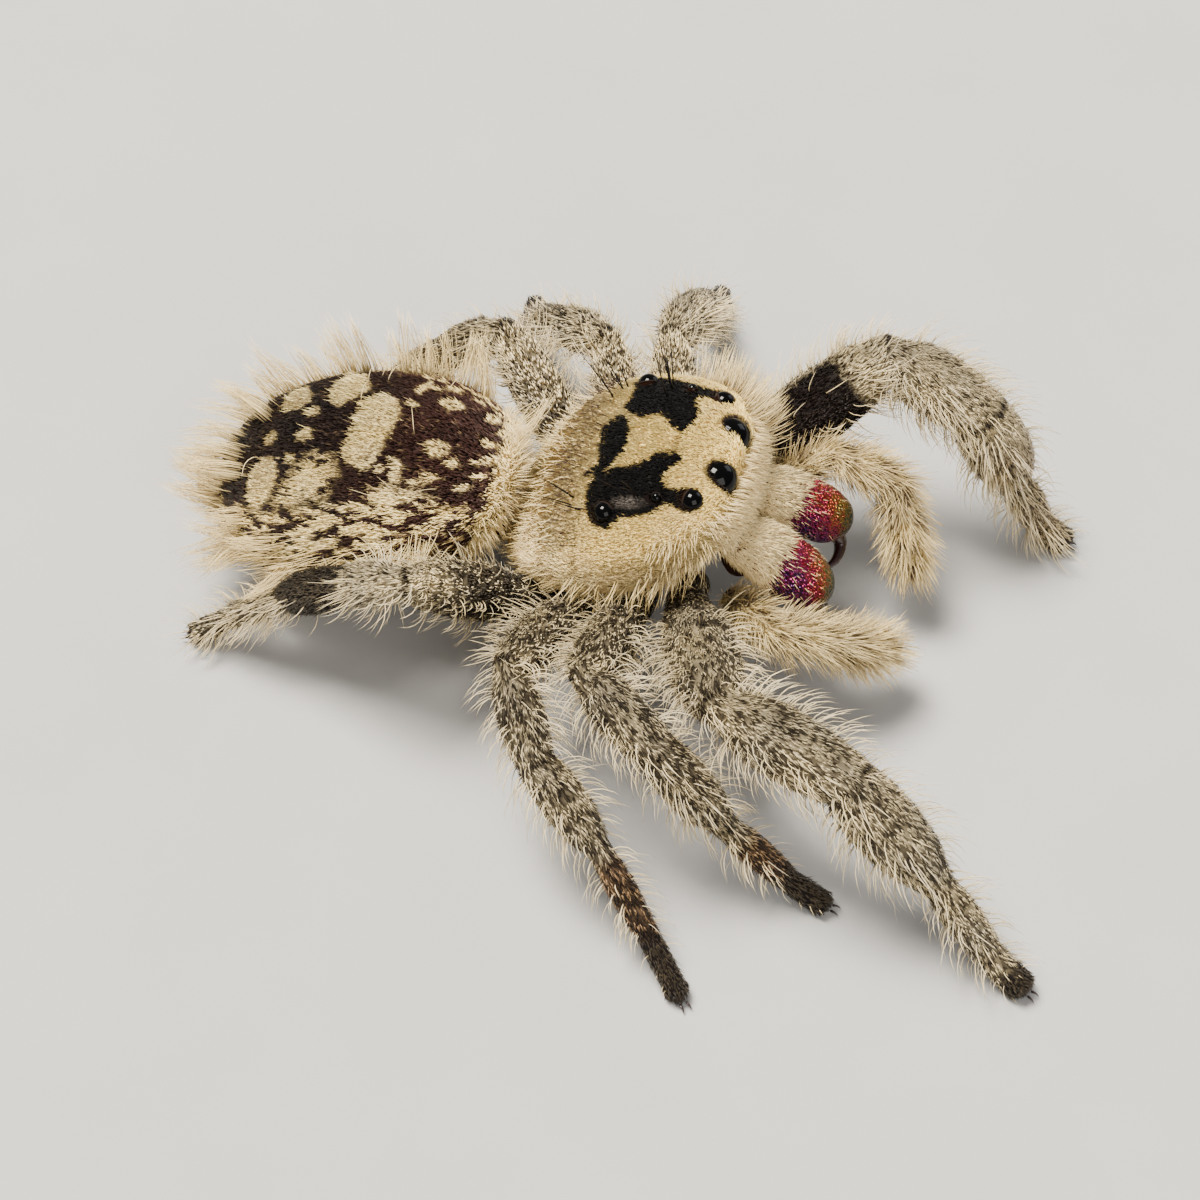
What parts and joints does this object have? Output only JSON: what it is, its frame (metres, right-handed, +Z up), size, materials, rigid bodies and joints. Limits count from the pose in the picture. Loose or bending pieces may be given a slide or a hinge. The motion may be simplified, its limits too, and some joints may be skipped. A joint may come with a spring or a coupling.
{
  "type": "regal jumping spider",
  "caption": "Adult female regal jumping spider, life size, standing with its head raised and its legs spread, covered in cream and grey fur.",
  "frame": {"origin": "centre of the bounding box on the floor, under the spider's thorax", "axes": "+X forward from tail to head, +Y to the spider's left, +Z up from the floor"},
  "size_m": [0.021, 0.02, 0.0065],
  "materials": {
    "fur": "dense cream and grey hair",
    "dark_skin": "dark brown velvet",
    "jaw": "iridescent magenta to gold to green",
    "eye": "glossy black",
    "horn": "dark polished horn"
  },
  "bodies": {
    "root": {"abdomen": "fur", "carapace": "fur", "chelicera_left": "jaw", "chelicera_right": "jaw", "eye_front_middle_left": "eye", "eye_front_middle_right": "eye", "eye_front_side_left": "eye", "eye_front_side_right": "eye", "eye_rear_left": "eye", "eye_rear_right": "eye", "eye_small_left": "eye", "eye_small_right": "eye", "fang_left": "horn", "fang_right": "horn", "leg_1_left_femur": "fur", "leg_1_left_foot": "fur", "leg_1_left_tibia": "fur", "leg_1_right_femur": "fur", "leg_1_right_foot": "fur", "leg_1_right_tibia": "fur", "leg_2_left_femur": "fur", "leg_2_left_foot": "fur", "leg_2_left_tibia": "fur", "leg_2_right_femur": "fur", "leg_2_right_foot": "fur", "leg_2_right_tibia": "fur", "leg_3_left_femur": "fur", "leg_3_left_foot": "fur", "leg_3_left_tibia": "fur", "leg_3_right_femur": "fur", "leg_3_right_foot": "fur", "leg_3_right_tibia": "fur", "leg_4_left_femur": "fur", "leg_4_left_foot": "fur", "leg_4_left_tibia": "fur", "leg_4_right_femur": "fur", "leg_4_right_foot": "fur", "leg_4_right_tibia": "fur", "mouthparts": "dark_skin", "palp_left_base": "fur", "palp_left_tip": "fur", "palp_right_base": "fur", "palp_right_tip": "fur", "pedicel": "dark_skin", "spinnerets": "dark_skin", "sternum": "dark_skin"}
  },
  "joints": []
}
